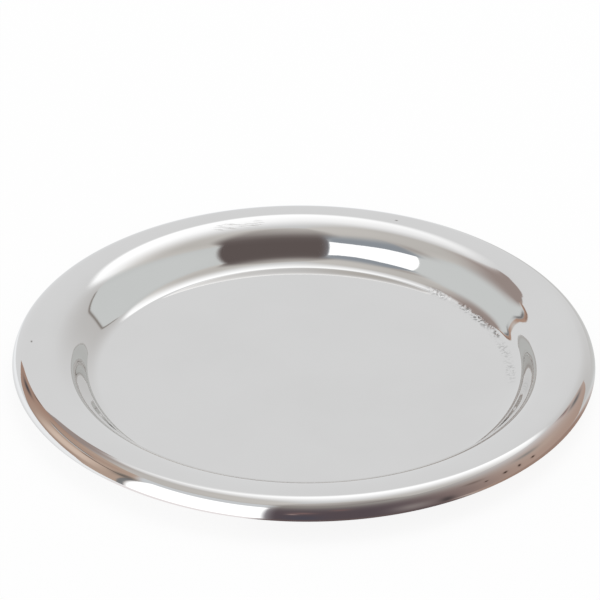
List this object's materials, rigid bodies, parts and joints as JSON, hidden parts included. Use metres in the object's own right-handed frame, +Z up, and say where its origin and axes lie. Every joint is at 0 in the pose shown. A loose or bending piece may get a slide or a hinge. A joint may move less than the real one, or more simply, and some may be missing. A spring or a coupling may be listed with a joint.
{
  "type": "coin tray",
  "caption": "Round shallow coin tray pressed from polished stainless steel sheet: flat floor, short sloping wall and a broad rolled rim that stands clear of the table.",
  "frame": {"origin": "centre of the tray's flat underside, on the surface that the tray stands on", "axes": "+Z up along the tray's own axis, out of the open side; the tray is round, so X and Y are any two directions across it"},
  "size_m": [0.14, 0.14, 0.0089],
  "materials": {
    "polished_steel": "polished"
  },
  "bodies": {
    "root": {"pressed_tray": "polished_steel"}
  },
  "joints": []
}
